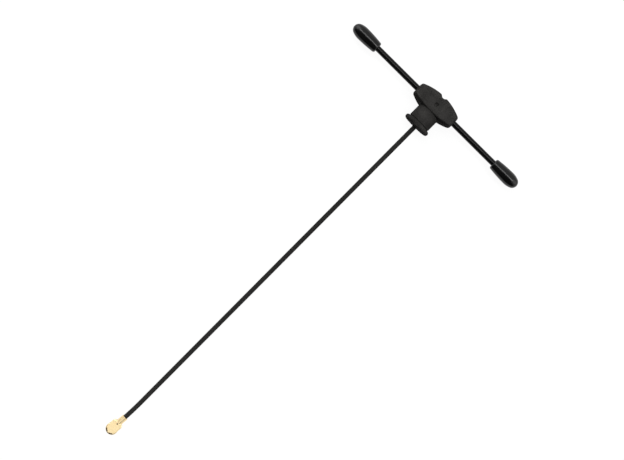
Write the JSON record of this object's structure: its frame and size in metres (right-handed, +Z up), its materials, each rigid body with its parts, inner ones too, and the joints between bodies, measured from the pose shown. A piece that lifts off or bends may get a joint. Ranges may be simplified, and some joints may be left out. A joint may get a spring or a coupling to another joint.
{
  "type": "t-shaped receiver antenna",
  "caption": "T-shaped dipole antenna for a radio receiver: moulded housing, straight arms with bullet end caps, thin coaxial cable and a micro coaxial push-on plug.",
  "frame": {"origin": "on the flat back of the housing, under the crossing of the arm axis and the cable axis", "axes": "+X along the right arm, the cable leaves along -Y, +Z up from the flat back to the face with the dimple"},
  "size_m": [0.054, 0.1132, 0.0065],
  "materials": {
    "housing": "matt",
    "arm_sleeve": "gloss",
    "end_cap": "gloss",
    "cable_jacket": "satin",
    "gold_sheet": "gold plated, satin",
    "conductor": "bare copper",
    "braid": "tinned",
    "solder": "satin",
    "dielectric": "matt",
    "insulator": "matt"
  },
  "bodies": {
    "root": {"t_housing": "housing", "left_arm_sleeve": "arm_sleeve", "right_arm_sleeve": "arm_sleeve", "left_element_wire": "conductor", "right_element_wire": "conductor", "left_end_cap": "end_cap", "right_end_cap": "end_cap", "feed_dielectric_end": "dielectric", "feed_core_tail": "conductor", "feed_braid_tail": "braid", "left_solder_joint": "solder", "right_solder_joint": "solder", "coax_cable": "cable_jacket", "plug_shell": "gold_sheet", "plug_insulator": "insulator", "plug_contact": "gold_sheet", "plug_braid_end": "braid", "plug_dielectric_end": "dielectric", "plug_core_end": "conductor"}
  },
  "joints": []
}
